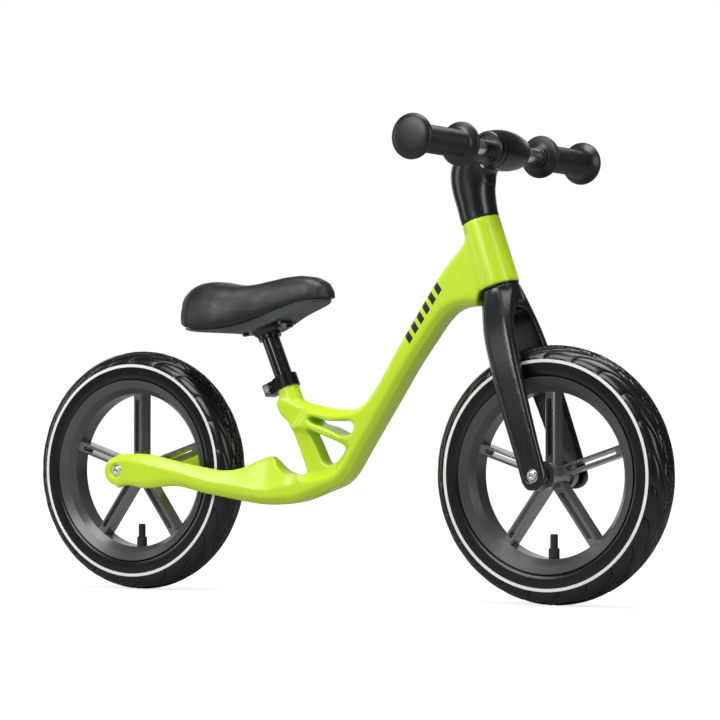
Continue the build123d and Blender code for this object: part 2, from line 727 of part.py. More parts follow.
# The cushion's side view, top then underside, and the lower face of its base.
pad_top = [(76.5, 352), (79, 366), (90, 378.5), (106, 384.3), (125, 384.8), (145, 381.3), (166, 378.8),
           (185, 380.2), (205, 384), (225, 387.8), (245, 389.5), (262, 387.5), (276, 381.3), (284, 372.5),
           (287, 363)]
pad_low = [(287, 363), (284, 361.6), (263, 359.6), (240, 354.5), (218, 347.2), (197, 337.8), (174, 329.3),
           (150, 324.6), (125, 324.6), (100, 327), (84, 334), (78, 343), (76.5, 352)]
base_top = [(98, 327.0), (125, 324.3), (150, 324.3), (174, 329.0), (197, 337.4), (218, 346.8), (240, 354.1),
            (263, 359.2), (282, 361.0)]
base_low = [(282, 358.6), (266, 353), (236, 342), (212, 331), (192, 323.5), (176, 320.8), (150, 320.0),
            (125, 321.2), (98, 325.4)]


def saddle_pad():
    profile = make_face([saddle_curve(pad_top), saddle_curve(pad_low)])
    block = side_plate(profile, 75) & extrude(Pos(0, 0, 250) * plan_outline(0), amount=250)
    return block


def saddle_base():
    """The moulded shell under the cushion, seated for the bracket and its four screws."""
    top = saddle_curve(base_top)
    low = saddle_curve(base_low)
    profile = make_face([top, Line(top @ 1, low @ 0), low, Line(low @ 1, top @ 0)])
    block = side_plate(profile, 75) & extrude(Pos(0, 0, 250) * plan_outline(5), amount=250)
    block -= Pos(0, 0, -seat_fit) * saddle_pad()
    downward = (Align.CENTER, Align.CENTER, Align.MAX)
    block -= bracket_frame() * Box(bracket_length + 2, bracket_width + 2, 40, align=downward)
    for line in saddle_screw_lines():
        block -= line * tube(saddle_screw_radius + seat_fit, 0, -4, saddle_screw_bite + seat_fit)
    return block


def bracket_frame():
    """Local plane of the bracket's plate, just under the saddle base."""
    return seat_foot * Pos(-33.0, 0, 80.2) * Rot(0, -bracket_slope, 0)


def saddle_screw_lines():
    return [bracket_frame() * Pos(x, y, 0)
            for x in (-bracket_screw_x, bracket_screw_x) for y in (-bracket_screw_y, bracket_screw_y)]


def saddle_bracket():
    """A rounded plate that flares down into the socket on the post."""
    plate = Box(bracket_length, bracket_width, bracket_height,
                align=(Align.CENTER, Align.CENTER, Align.MAX))
    plate = fillet(plate.edges().filter_by(Axis.Z), bracket_corner)
    body = bracket_frame() * plate
    wide = bracket_frame() * Pos(0, 0, -bracket_height + 1) * Ellipse(flare_half_length, flare_half_width)
    narrow = seat_line * Pos(0, 0, socket_low + flare_height) * Circle(socket_radius)
    body += loft([narrow, wide])
    body += seat_line * tube(socket_radius, 0, socket_low, post_top + socket_roof)
    body -= bracket_frame() * Box(200, 200, 60, align=(Align.CENTER, Align.CENTER, Align.MIN))
    body -= seat_line * tube(post_radius + seat_fit, 0, socket_low - 5, post_top + 0.1)
    for line in saddle_screw_lines():
        body -= line * tube(saddle_screw_radius + seat_fit, 0, -20, 10)
    return body


def saddle_screws():
    under = -bracket_height - 0.02
    screw = tube(saddle_screw_radius, 0, under, saddle_screw_bite) + tube(4.0, 0, under - 2.4, under)
    return Compound(children=[line * screw for line in saddle_screw_lines()])


save(frame_part(), "frame")
save(steer * headset_cups(True), "headset_cup_upper")
save(steer * headset_cups(False), "headset_cup_lower")
save(steer * headset_bearing(head_high - headset_bearing_height), "headset_bearing_upper")
save(steer * headset_bearing(head_low), "headset_bearing_lower")
save(fork_part(), "fork")
save(stem_part(), "stem")
save(stem_bolt(), "stem_bolt")
save(stem_wedge(), "stem_wedge")
save(bar_clamp(), "bar_clamp")
save(clamp_screws(), "clamp_screws")
save(handlebar(), "handlebar")
save(grip(1), "grip_left")
save(grip(-1), "grip_right")
save(seat_clamp(), "seat_clamp")
save(seat_clamp_bolt(), "seat_clamp_bolt")
save(seat_clamp_nut(), "seat_clamp_nut")
save(seat_post(), "seat_post")
save(saddle_pad(), "saddle_pad")
save(saddle_base(), "saddle_base")
save(saddle_bracket(), "saddle_bracket")
save(saddle_screws(), "saddle_screws")

for end, place, end_width in (("rear", rear, stay_end_width), ("front", front, fork_end_width)):
    turned = place if end == "rear" else steer
    save(place * wheel_rim(), f"{end}_rim")
    save(place * wheel_spokes(), f"{end}_spokes")
    save(place * tyre_carcass(), f"{end}_tyre")
    save(place * tyre_ring(), f"{end}_tyre_rings")
    save(place * inner_tube(), f"{end}_inner_tube")
    save(place * valve_stem(), f"{end}_valve")
    save(place * valve_cap(), f"{end}_valve_cap")
    save(place * wheel_bearings(), f"{end}_wheel_bearings")
    save(place * bearing_spacer(), f"{end}_bearing_spacer")
    save(place * wheel_axle(), f"{end}_axle")
    save(place * axle_spacers(), f"{end}_axle_spacers")
    save(turned * axle_bolts(end_width), f"{end}_axle_bolts")
    save(turned * axle_washers(end_width), f"{end}_axle_washers")
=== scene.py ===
import json
import math

import bmesh
import bpy
from mathutils import Matrix, Vector


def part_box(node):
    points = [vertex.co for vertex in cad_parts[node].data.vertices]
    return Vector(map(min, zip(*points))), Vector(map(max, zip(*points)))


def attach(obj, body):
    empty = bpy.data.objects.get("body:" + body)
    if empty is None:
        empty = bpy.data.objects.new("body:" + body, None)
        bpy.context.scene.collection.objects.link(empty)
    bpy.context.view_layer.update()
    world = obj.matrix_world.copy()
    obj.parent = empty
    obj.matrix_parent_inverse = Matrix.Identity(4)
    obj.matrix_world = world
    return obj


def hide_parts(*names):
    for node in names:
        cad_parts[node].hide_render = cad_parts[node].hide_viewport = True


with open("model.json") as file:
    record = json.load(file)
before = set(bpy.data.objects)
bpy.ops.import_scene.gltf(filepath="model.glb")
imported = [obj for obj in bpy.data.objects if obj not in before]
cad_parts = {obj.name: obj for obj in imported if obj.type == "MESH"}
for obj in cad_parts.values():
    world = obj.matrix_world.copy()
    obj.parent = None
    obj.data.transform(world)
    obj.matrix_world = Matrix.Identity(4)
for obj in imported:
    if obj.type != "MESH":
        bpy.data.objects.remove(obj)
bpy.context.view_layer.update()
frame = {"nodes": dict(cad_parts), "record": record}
nodes = frame["nodes"]
scene = bpy.context.scene
scene.view_settings.view_transform = "Standard"
millimetre = 0.001


# Small helpers for materials.

def newMaterial(name):
    mat = bpy.data.materials.new(name)
    mat.use_nodes = True
    tree = mat.node_tree
    shader = tree.nodes["Principled BSDF"]
    coords = tree.nodes.new("ShaderNodeTexCoord")
    return mat, tree, shader, coords.outputs["Object"]


def noiseOn(tree, coords, scale, detail, roughness=0.5, stretch=None):
    source = coords
    if stretch:
        mapping = tree.nodes.new("ShaderNodeMapping")
        mapping.inputs["Scale"].default_value = stretch
        tree.links.new(coords, mapping.inputs["Vector"])
        source = mapping.outputs["Vector"]
    noise = tree.nodes.new("ShaderNodeTexNoise")
    noise.inputs["Scale"].default_value = scale
    noise.inputs["Detail"].default_value = detail
    noise.inputs["Roughness"].default_value = roughness
    tree.links.new(source, noise.inputs["Vector"])
    return noise.outputs["Fac"]


def cellsOn(tree, coords, scale):
    cells = tree.nodes.new("ShaderNodeTexVoronoi")
    cells.feature = "SMOOTH_F1"
    cells.inputs["Scale"].default_value = scale
    tree.links.new(coords, cells.inputs["Vector"])
    return cells.outputs["Distance"]


def spread(tree, value, low, high, outLow, outHigh):
    span = tree.nodes.new("ShaderNodeMapRange")
    span.inputs["From Min"].default_value = low
    span.inputs["From Max"].default_value = high
    span.inputs["To Min"].default_value = outLow
    span.inputs["To Max"].default_value = outHigh
    tree.links.new(value, span.inputs["Value"])
    return span.outputs["Result"]


def twoTone(tree, factor, first, second):
    mix = tree.nodes.new("ShaderNodeMix")
    mix.data_type = "RGBA"
    mix.inputs["A"].default_value = (*first, 1.0)
    mix.inputs["B"].default_value = (*second, 1.0)
    tree.links.new(factor, mix.inputs["Factor"])
    return mix.outputs["Result"]


def bumpOn(tree, shader, height, strength, distance, under=None):
    bump = tree.nodes.new("ShaderNodeBump")
    bump.inputs["Strength"].default_value = strength
    bump.inputs["Distance"].default_value = distance
    tree.links.new(height, bump.inputs["Height"])
    if under:
        tree.links.new(under, bump.inputs["Normal"])
    tree.links.new(bump.outputs["Normal"], shader.inputs["Normal"])
    return bump.outputs["Normal"]


def mathOn(tree, operation, first, second=None):
    step = tree.nodes.new("ShaderNodeMath")
    step.operation = operation
    for socket, value in zip(step.inputs, (first, second)):
        if isinstance(value, (int, float)):
            socket.default_value = value
        elif value is not None:
            tree.links.new(value, socket)
    return step.outputs["Value"]


def runOn(tree, coords, direction, start):
    # Distance along a direction in the side view, from a starting value.
    dot = tree.nodes.new("ShaderNodeVectorMath")
    dot.operation = "DOT_PRODUCT"
    dot.inputs[1].default_value = direction
    tree.links.new(coords, dot.inputs[0])
    return mathOn(tree, "SUBTRACT", dot.outputs["Value"], start)


def paintOver(tree, shader, mask, colour):
    # Lays a second colour over the base colour where the mask is one.
    mix = tree.nodes.new("ShaderNodeMix")
    mix.data_type = "RGBA"
    mix.inputs["B"].default_value = (*colour, 1.0)
    tree.links.new(shader.inputs["Base Color"].links[0].from_socket, mix.inputs["A"])
    tree.links.new(mask, mix.inputs["Factor"])
    tree.links.new(mix.outputs["Result"], shader.inputs["Base Color"])


def printBars(tree, shader, coords, bars):
    # A row of plain slanted bars printed on both sides of the tube.
    c, s = math.cos(bars["angle"]), math.sin(bars["angle"])
    x, z = bars["centre"]
    alongTube = runOn(tree, coords, (c, 0, s), x * c + z * s)
    overTube = runOn(tree, coords, (-s, 0, c), -x * s + z * c)
    leaning = mathOn(tree, "ADD", alongTube, mathOn(tree, "MULTIPLY", overTube, -bars["lean"]))
    beat = mathOn(tree, "FRACT", mathOn(tree, "DIVIDE", leaning, bars["pitch"]))
    limits = [(mathOn(tree, "SUBTRACT", beat, 0.5), bars["duty"] / 2),
              (leaning, bars["count"] / 2 * bars["pitch"]), (overTube, bars["height"] / 2)]
    mask = None
    for value, limit in limits:
        inside = mathOn(tree, "LESS_THAN", mathOn(tree, "ABSOLUTE", value), limit)
        mask = inside if mask is None else mathOn(tree, "MULTIPLY", mask, inside)
    paintOver(tree, shader, mask, bars["ink"])


def bareEars(tree, shader, coords, ears):
    # The clamp's ears behind the collar are left in the lighter metal.
    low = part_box("seat_clamp")[0]
    c, s = math.cos(math.radians(ears["seatAngle"])), math.sin(math.radians(ears["seatAngle"]))
    reach = runOn(tree, coords, (-s, 0, -c), -low.x * s - low.z * c)
    paintOver(tree, shader, mathOn(tree, "GREATER_THAN", reach, ears["start"]), ears["colour"])


noiseLook = {
    "driftDetail": 3.0, "driftSpan": (0.35, 0.65), "glossDetail": 5.0, "glossBreak": 0.6, "glossSpan": (0.3, 0.7),
    "grainDetail": 2.0,
}


def finishMaterial(name, look):
    # A painted, moulded, rubber or metal finish: colour drift, uneven gloss and fine grain. A textured one has cells.
    mat, tree, shader, coords = newMaterial(name)
    drift = noiseOn(tree, coords, look["driftScale"], noiseLook["driftDetail"])
    share = spread(tree, drift, *noiseLook["driftSpan"], 0.0, 1.0)
    tree.links.new(twoTone(tree, share, look["colour"], look["colourTwo"]), shader.inputs["Base Color"])
    if look.get("ears"):
        bareEars(tree, shader, coords, look["ears"])
    if look.get("bars"):
        printBars(tree, shader, coords, look["bars"])
    stretch = look.get("stretch")
    gloss = noiseOn(tree, coords, look["glossScale"], noiseLook["glossDetail"], noiseLook["glossBreak"], stretch)
    rough = spread(tree, gloss, *noiseLook["glossSpan"], look["roughLow"], look["roughHigh"])
    tree.links.new(rough, shader.inputs["Roughness"])
    shader.inputs["Metallic"].default_value = look.get("metallic", 0.0)
    shader.inputs["Coat Weight"].default_value = look.get("coat", 0.0)
    shader.inputs["Coat Roughness"].default_value = look.get("coatRough", 0.1)
    shader.inputs["Specular IOR Level"].default_value = look.get("specular", 0.5)
    fine = noiseOn(tree, coords, look["grainScale"], noiseLook["grainDetail"], stretch=stretch)
    under = bumpOn(tree, shader, fine, look["grainStrength"], look["grainDepth"])
    if look.get("cellScale"):
        bumpOn(tree, shader, cellsOn(tree, coords, look["cellScale"]), look["cellStrength"], look["cellDepth"], under)
    return mat


# Scales count features in a metre, and depths are in metres.
finishes = {
    "framePaint": dict(
        colour=(0.545, 0.780, 0.014), colourTwo=(0.560, 0.792, 0.016), driftScale=6, glossScale=18,
        roughLow=0.34, roughHigh=0.38, coat=0.4, coatRough=0.20, grainScale=420, grainStrength=0.05,
        grainDepth=0.0004,
        bars=dict(centre=(0.1313, 0.3400), angle=0.958, count=6, height=0.0115, pitch=0.0138, duty=0.6, lean=0.35,
                  ink=(0.006, 0.006, 0.006))),
    "charcoalPaint": dict(
        colour=(0.0050, 0.0053, 0.006), colourTwo=(0.0068, 0.0072, 0.008), driftScale=8, glossScale=30,
        roughLow=0.25, roughHigh=0.30, coat=0.2, coatRough=0.18, grainScale=900, grainStrength=0.04,
        grainDepth=0.0003),
    "postPaint": dict(
        colour=(0.006, 0.006, 0.007), colourTwo=(0.009, 0.009, 0.010), driftScale=10, glossScale=40,
        roughLow=0.10, roughHigh=0.20, coat=0.7, coatRough=0.05, grainScale=300, grainStrength=0.04,
        grainDepth=0.0002, stretch=(1, 1, 0.05)),
    "rimPlastic": dict(
        colour=(0.055, 0.055, 0.057), colourTwo=(0.066, 0.066, 0.068), driftScale=9, glossScale=40,
        roughLow=0.28, roughHigh=0.34, coat=0.3, coatRough=0.18, grainScale=1100, grainStrength=0.03,
        grainDepth=0.0002),
    "blackPlastic": dict(
        colour=(0.007, 0.007, 0.0075), colourTwo=(0.011, 0.011, 0.0115), driftScale=12, glossScale=50,
        roughLow=0.38, roughHigh=0.52, grainScale=1500, grainStrength=0.2, grainDepth=0.0003),
    "basePlastic": dict(
        colour=(0.030, 0.031, 0.033), colourTwo=(0.040, 0.041, 0.043), driftScale=9, glossScale=60,
        roughLow=0.42, roughHigh=0.58, grainScale=1300, grainStrength=0.2, grainDepth=0.0003, cellScale=900,
        cellStrength=0.1, cellDepth=0.0003),
    "bearingSteel": dict(
        colour=(0.42, 0.43, 0.45), colourTwo=(0.52, 0.53, 0.55), driftScale=60, glossScale=200, roughLow=0.18,
        roughHigh=0.3, metallic=1.0, grainScale=800, grainStrength=0.1, grainDepth=0.0002, stretch=(1, 6, 1)),
    "boltSteel": dict(
        colour=(0.80, 0.80, 0.82), colourTwo=(0.88, 0.88, 0.90), driftScale=80, glossScale=250, roughLow=0.22,
        roughHigh=0.32, metallic=1.0, grainScale=1100, grainStrength=0.08, grainDepth=0.0002),
    "barAlloy": dict(
        colour=(0.74, 0.74, 0.75), colourTwo=(0.84, 0.84, 0.85), driftScale=20, glossScale=300, roughLow=0.12,
        roughHigh=0.22, metallic=1.0, grainScale=500, grainStrength=0.06, grainDepth=0.0002,
        stretch=(1, 0.02, 1)),
    "clampAlloy": dict(
        colour=(0.012, 0.012, 0.013), colourTwo=(0.016, 0.016, 0.017), driftScale=30, glossScale=150,
        roughLow=0.28, roughHigh=0.4, metallic=0.8, grainScale=900, grainStrength=0.12, grainDepth=0.0002,
        ears=dict(colour=(0.20, 0.20, 0.23), seatAngle=67, start=-0.0135)),
    "gripRubber": dict(
        colour=(0.0055, 0.0055, 0.006), colourTwo=(0.0085, 0.0085, 0.009), driftScale=15, glossScale=60,
        roughLow=0.30, roughHigh=0.40, grainScale=1200, grainStrength=0.25, grainDepth=0.0003),
    "tyreRubber": dict(
        colour=(0.0045, 0.0045, 0.005), colourTwo=(0.007, 0.007, 0.0075), driftScale=12, glossScale=40,
        roughLow=0.21, roughHigh=0.27, specular=0.45, grainScale=1000, grainStrength=0.03, grainDepth=0.0002),
    "tubeRubber": dict(
        colour=(0.012, 0.012, 0.012), colourTwo=(0.018, 0.018, 0.018), driftScale=15, glossScale=50,
        roughLow=0.5, roughHigh=0.65, grainScale=900, grainStrength=0.1, grainDepth=0.0002),
    "ringWhite": dict(
        colour=(0.78, 0.78, 0.77), colourTwo=(0.86, 0.86, 0.85), driftScale=14, glossScale=60, roughLow=0.45,
        roughHigh=0.6, grainScale=900, grainStrength=0.1, grainDepth=0.0002),
    "spokeMetal": dict(
        colour=(0.22, 0.22, 0.225), colourTwo=(0.25, 0.25, 0.255), driftScale=14, glossScale=60, roughLow=0.24,
        roughHigh=0.28, metallic=0.7, coat=0.3, coatRough=0.12, grainScale=900, grainStrength=0.015,
        grainDepth=0.0001),
    "blackSteel": dict(
        colour=(0.020, 0.020, 0.021), colourTwo=(0.030, 0.030, 0.031), driftScale=70, glossScale=200,
        roughLow=0.25, roughHigh=0.4, metallic=1.0, grainScale=1000, grainStrength=0.1, grainDepth=0.0002),
    "saddleCover": dict(
        colour=(0.008, 0.008, 0.0085), colourTwo=(0.012, 0.012, 0.0125), driftScale=14, glossScale=120,
        roughLow=0.38, roughHigh=0.52, grainScale=1400, grainStrength=0.2, grainDepth=0.0003, cellScale=650,
        cellStrength=0.3, cellDepth=0.0005),
}
mats = {name: finishMaterial(name, look) for name, look in finishes.items()}

# Finish of each material slot, and of the nodes that differ from their slot.
slotLooks = {
    "frame_paint": "framePaint", "dark_paint": "charcoalPaint", "post_paint": "postPaint",
    "black_plastic": "blackPlastic", "base_plastic": "basePlastic", "bearing_steel": "bearingSteel",
    "bolt_steel": "boltSteel", "bar_alloy": "barAlloy", "clamp_alloy": "clampAlloy", "grip_rubber": "gripRubber",
    "tyre_rubber": "tyreRubber", "tube_rubber": "tubeRubber", "ring_white": "ringWhite",
    "saddle_cover": "saddleCover", "rim_plastic": "rimPlastic",
}
ownLooks = {
    "saddle_screws": "blackSteel", "saddle_bracket": "charcoalPaint", "rear_spokes": "spokeMetal",
    "front_spokes": "spokeMetal",
}
for entry in frame["record"]["subparts"]:
    cadPart = nodes[entry["node"]]
    cadPart.data.materials.clear()
    cadPart.data.materials.append(mats[ownLooks.get(entry["node"], slotLooks[entry["material_slot"]])])
print("stage: finishes on", len(nodes), "fixed parts")


# Helpers for meshes and node trees.

def nodeCentre(name):
    low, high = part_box(name)
    return (low + high) / 2


def meshObject(name, verts, faces, mat, smooth=True):
    mesh = bpy.data.meshes.new(name)
    mesh.from_pydata(verts, [], faces)
    mesh.update()
    obj = bpy.data.objects.new(name, mesh)
    scene.collection.objects.link(obj)
    mesh.materials.append(mat)
    if smooth:
        mesh.polygons.foreach_set("use_smooth", [True] * len(mesh.polygons))
    return obj


def turnNormalsOut(obj, merge=0.00002):
    work = bmesh.new()
    work.from_mesh(obj.data)
    bmesh.ops.remove_doubles(work, verts=work.verts, dist=merge)
    bmesh.ops.recalc_face_normals(work, faces=work.faces)
    work.to_mesh(obj.data)
    work.free()
    obj.data.update()


def applied(obj):
    # The evaluated shape becomes the plain mesh, and the modifiers go.
    deps = bpy.context.evaluated_depsgraph_get()
    fresh = bpy.data.meshes.new_from_object(obj.evaluated_get(deps))
    obj.modifiers.clear()
    old = obj.data
    obj.data = fresh
    bpy.data.meshes.remove(old)
    return obj


def nodeTree(name, inputs):
    tree = bpy.data.node_groups.new(name, "GeometryNodeTree")
    tree.interface.new_socket("Geometry", in_out="OUTPUT", socket_type="NodeSocketGeometry")
    for label, kind in inputs:
        tree.interface.new_socket(label, in_out="INPUT", socket_type=kind)
    return tree, tree.nodes.new("NodeGroupInput"), tree.nodes.new("NodeGroupOutput")


def runTree(name, tree, values):
    holder = bpy.data.objects.new(name, bpy.data.meshes.new(name))
    scene.collection.objects.link(holder)
    modifier = holder.modifiers.new("build", "NODES")
    modifier.node_group = tree
    for item in tree.interface.items_tree:
        if item.in_out == "INPUT" and item.name in values:
            modifier[item.identifier] = values[item.name]
    bpy.context.view_layer.update()
    return applied(holder)


# Frame and fork: castings with well rounded edges, made from copies of the solid shapes.

# sharpAt lists places in the side view, each with a radius, where the edges stay crisp.
castLook = {
    "frame": dict(voxel=0.0017, passes=11, sharpAt=[((-0.2955, 0.15), 0.020), ((-0.0760, 0.259), 0.012)],
                  sharpShare=0.12, finish="framePaint", slot="frame_paint", body="frame"),
    "fork": dict(voxel=0.00135, passes=18, sharpAt=[((0.2955, 0.15), 0.020)], sharpShare=0.12,
                 crownFill=dict(foot=(0.2955, 0.150), headAngle=71.9, up=0.2065, half=(0.0195, 0.006, 0.0075)),
                 finish="charcoalPaint", slot="dark_paint", body="fork"),
}
castEdge = {"merge": 0.000004, "rise": 2, "start": 1.4, "factor": 0.5}


def fillCrown(work, fill):
    # A web under the crown, so that the two legs meet in a round arch.
    tilt = Matrix.Rotation(math.radians(fill["headAngle"] - 90), 4, "Y")
    foot = Matrix.Translation((fill["foot"][0], 0, fill["foot"][1]))
    size = Matrix.Diagonal((*[2 * h for h in fill["half"]], 1.0))
    place = foot @ tilt @ Matrix.Translation((0, 0, fill["up"]))
    bmesh.ops.create_cube(work, size=1.0, matrix=place @ size)


def makeCasting(name, look):
    # Remeshing and smoothing also move the hidden bores, by up to about half a millimetre.
    copy = nodes[name].data.copy()
    obj = bpy.data.objects.new(f"{name}Casting", copy)
    scene.collection.objects.link(obj)
    work = bmesh.new()
    work.from_mesh(copy)
    bmesh.ops.remove_doubles(work, verts=work.verts, dist=castEdge["merge"])
    if look.get("crownFill"):
        fillCrown(work, look["crownFill"])
    work.to_mesh(copy)
    work.free()
    skin = obj.modifiers.new("skin", "REMESH")
    skin.mode = "VOXEL"
    skin.voxel_size = look["voxel"]
    applied(obj)
    group = obj.vertex_groups.new(name="soft")
    levels = {}
    for vert in obj.data.vertices:
        weight = 1.0
        for (x, z), radius in look["sharpAt"]:
            away = math.hypot(vert.co.x - x, vert.co.z - z) / radius
            rise = min(1.0, away * castEdge["rise"] - castEdge["start"])
            weight = min(weight, max(look["sharpShare"], rise))
        levels.setdefault(round(weight, 2), []).append(vert.index)
    for weight, indices in levels.items():
        group.add(indices, weight, "REPLACE")
    soften = obj.modifiers.new("soften", "SMOOTH")
    soften.factor = castEdge["factor"]
    soften.iterations = look["passes"]
    soften.vertex_group = "soft"
    applied(obj)
    obj.data.materials.clear()
    obj.data.materials.append(mats[look["finish"]])
    obj.data.polygons.foreach_set("use_smooth", [True] * len(obj.data.polygons))
    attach(obj, look["body"])
    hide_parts(name)
    print("casting", name, len(obj.data.polygons))
    return obj


for name, look in castLook.items():
    makeCasting(name, look)
print("stage: frame and fork")


# Tyres: one pitch of the tread is modelled, and a node tree carries it round the wheel.

tyreLook = {
    "pitches": 23, "crown": 0.150, "merge": 0.00002, "tidyMerge": 0.000005,
    # Radius and sideways place, from the rim flange to the crown, and then round the wall inside the rim.
    "outline": [(0.11357, 0.02145), (0.1141, 0.0241), (0.1165, 0.02465), (0.1205, 0.0249), (0.126, 0.025),
                (0.132, 0.025), (0.1365, 0.0247), (0.1405, 0.0232), (0.1437, 0.0206), (0.1461, 0.0170),
                (0.1478, 0.0128), (0.1490, 0.0086), (0.1498, 0.0043), (0.150, 0.0)],
    "innerWall": [(0.11357, 0.02145), (0.1095, 0.02145), (0.1095, -0.02145), (0.11357, -0.02145)],
    # Rows across and along one pitch. The plain wall, inside fineFrom, keeps one row in wallStride.
    "stepsOver": 108, "wallStride": 4, "fineFrom": 0.1325,
    "stepsRound": [0, 0.007, 0.014, 0.022, 0.034] + [0.058 + 0.884 * k / 37 for k in range(38)]
    + [0.966, 0.978, 0.986, 0.993, 1.0],
    # Leaves of the shoulder, the sipes between them, and how they sweep towards the crown.
    "treadStart": 0.1338, "treadEase": 0.0012, "treadHalf": 0.0250, "treadRise": 0.0142, "riseShares": (0.8, 0.2),
    "sweep": 1.2, "curl": 1.7, "shoulder": 0.0116, "sipeDepth": 0.0013, "sipeWidth": 0.0008, "leafDepth": 0.0010,
    "channelDepth": 0.0015, "channelWidth": 0.0013, "channelIn": 0.0006, "channelSwing": 0.0012,
    # Linked ovals beside the middle, the slot in each, and the link between two.
    "crownDepth": 0.0013, "crownWidth": 0.0012, "ovalAt": 0.0050, "ovalHalf": (0.0165, 0.0036),
    "slotHalf": (0.0085, 0.0011), "slotShare": 0.8, "linkFrom": 0.465, "linkHalf": 0.0088, "linkShare": 0.9,
}


def tyreProfile():
    # Outer surface from one rim flange over the crown to the other.
    half = tyreLook["outline"]
    return [Vector((r, -w)) for r, w in half] + [Vector((r, w)) for r, w in reversed(half[:-1])]


def sampledCurve(points, count):
    # Catmull-Rom through the points, resampled evenly by length.
    dense = []
    for i in range(len(points) - 1):
        before = points[max(i - 1, 0)]
        start, end = points[i], points[i + 1]
        after = points[min(i + 2, len(points) - 1)]
        for k in range(16):
            t = k / 16
            dense.append(0.5 * ((2 * start) + (end - before) * t + (2 * before - 5 * start + 4 * end - after) * t * t
                                + (3 * start - before - 3 * end + after) * t ** 3))
    dense.append(points[-1])
    lengths = [0.0]
    for a, b in zip(dense, dense[1:]):
        lengths.append(lengths[-1] + (b - a).length)
    out, j = [], 0
    for i in range(count + 1):
        want = lengths[-1] * i / count
        while j < len(lengths) - 2 and lengths[j + 1] < want:
            j += 1
        part = (want - lengths[j]) / max(lengths[j + 1] - lengths[j], 1e-9)
        out.append(dense[j].lerp(dense[j + 1], min(max(part, 0), 1)))
    return out


def trough(distance, width):
    return max(0.0, 1.0 - (distance / width) ** 2) ** 0.5 if distance < width else 0.0


def leafRise(r, w):
    # Nought at the edge of the sidewall, one at the shoulder groove beside the crown.
    look = tyreLook
    if r < look["treadStart"]:
        return 0.0
    inward = (look["treadHalf"] - abs(w)) / (look["treadHalf"] - look["shoulder"])
    first, second = look["riseShares"]
    return min(1.0, inward * first + second * (r - look["treadStart"]) / look["treadRise"])


def treadDepth(u, slanted, side, r, w):
    # How far the surface sinks: u counts pitches round the tyre, slanted counts them from the nearest sipe.
    look = tyreLook
    pitchLength = 2 * math.pi * look["crown"] / look["pitches"]
    out = abs(w)
    depth = 0.0
    if out > look["shoulder"] and r > look["treadStart"]:
        gap = min(slanted, 1 - slanted) * pitchLength
        ease = min(1.0, (r - look["treadStart"]) / look["treadEase"])
        leaf = look["leafDepth"] * (2 * slanted - 1) ** 4
        depth = ease * (leaf + look["sipeDepth"] * trough(gap, look["sipeWidth"]))
    phase = (u + (0.0 if side > 0 else 0.5)) % 1.0
    channel = look["shoulder"] - look["channelIn"] + look["channelSwing"] * math.sin(2 * math.pi * phase)
    depth = max(depth, look["channelDepth"] * trough(abs(out - channel), look["channelWidth"]))
    along = (phase - 0.5) * pitchLength
    over = out - look["ovalAt"]
    ovalLong, ovalWide = look["ovalHalf"]
    ring = math.hypot(along / ovalLong, over / ovalWide)
    depth = max(depth, look["crownDepth"] * trough(abs(ring - 1.0) * ovalWide, look["crownWidth"]))
    slotLong, slotWide = look["slotHalf"]
    slot = trough(math.hypot(along / slotLong, over / slotWide), 1.0)
    depth = max(depth, look["crownDepth"] * look["slotShare"] * slot)
    if abs(phase - 0.5) > look["linkFrom"] and out < look["linkHalf"]:
        depth = max(depth, look["crownDepth"] * look["linkShare"])
    return depth


def tyrePitch(name, mat):
    look = tyreLook
    fine = sampledCurve(tyreProfile(), look["stepsOver"])
    last = len(fine) - 1
    outline = [q for k, q in enumerate(fine)
               if q.x > look["fineFrom"] or k in (0, last) or min(k, last - k) % look["wallStride"] == 1]
    verts, faces = [], []
    across = len(outline)
    steps = look["stepsRound"]
    for slanted in steps:
        for j, point in enumerate(outline):
            r, w = point
            side = 1 if w >= 0 else -1
            before, after = outline[max(j - 1, 0)], outline[min(j + 1, across - 1)]
            along = (after - before).normalized()
            normal = Vector((along.y, -along.x))
            u = slanted + look["sweep"] * leafRise(r, w) ** look["curl"]
            angle = 2 * math.pi * u / look["pitches"]
            sink = treadDepth(u % 1.0, slanted, side, r, w)
            r2, w2 = r - normal.x * sink, w - normal.y * sink
            verts.append((r2 * math.sin(angle), w2, r2 * math.cos(angle)))
    for i in range(len(steps) - 1):
        for j in range(across - 1):
            a = i * across + j
            faces.append((a, a + 1, a + across + 1, a + across))
    # Inner wall, so that the tyre is one closed body. It is solid, with the inner tube hidden inside it.
    inner = look["innerWall"]
    rows = len(inner)
    start = len(verts)
    for u in steps:
        angle = 2 * math.pi * u / look["pitches"]
        for r, w in inner:
            verts.append((r * math.sin(angle), w, r * math.cos(angle)))
    for i in range(len(steps) - 1):
        for j in range(rows - 1):
            a = start + i * rows + j
            faces.append((a, a + 1, a + rows + 1, a + rows))
    return meshObject(name, verts, faces, mat)


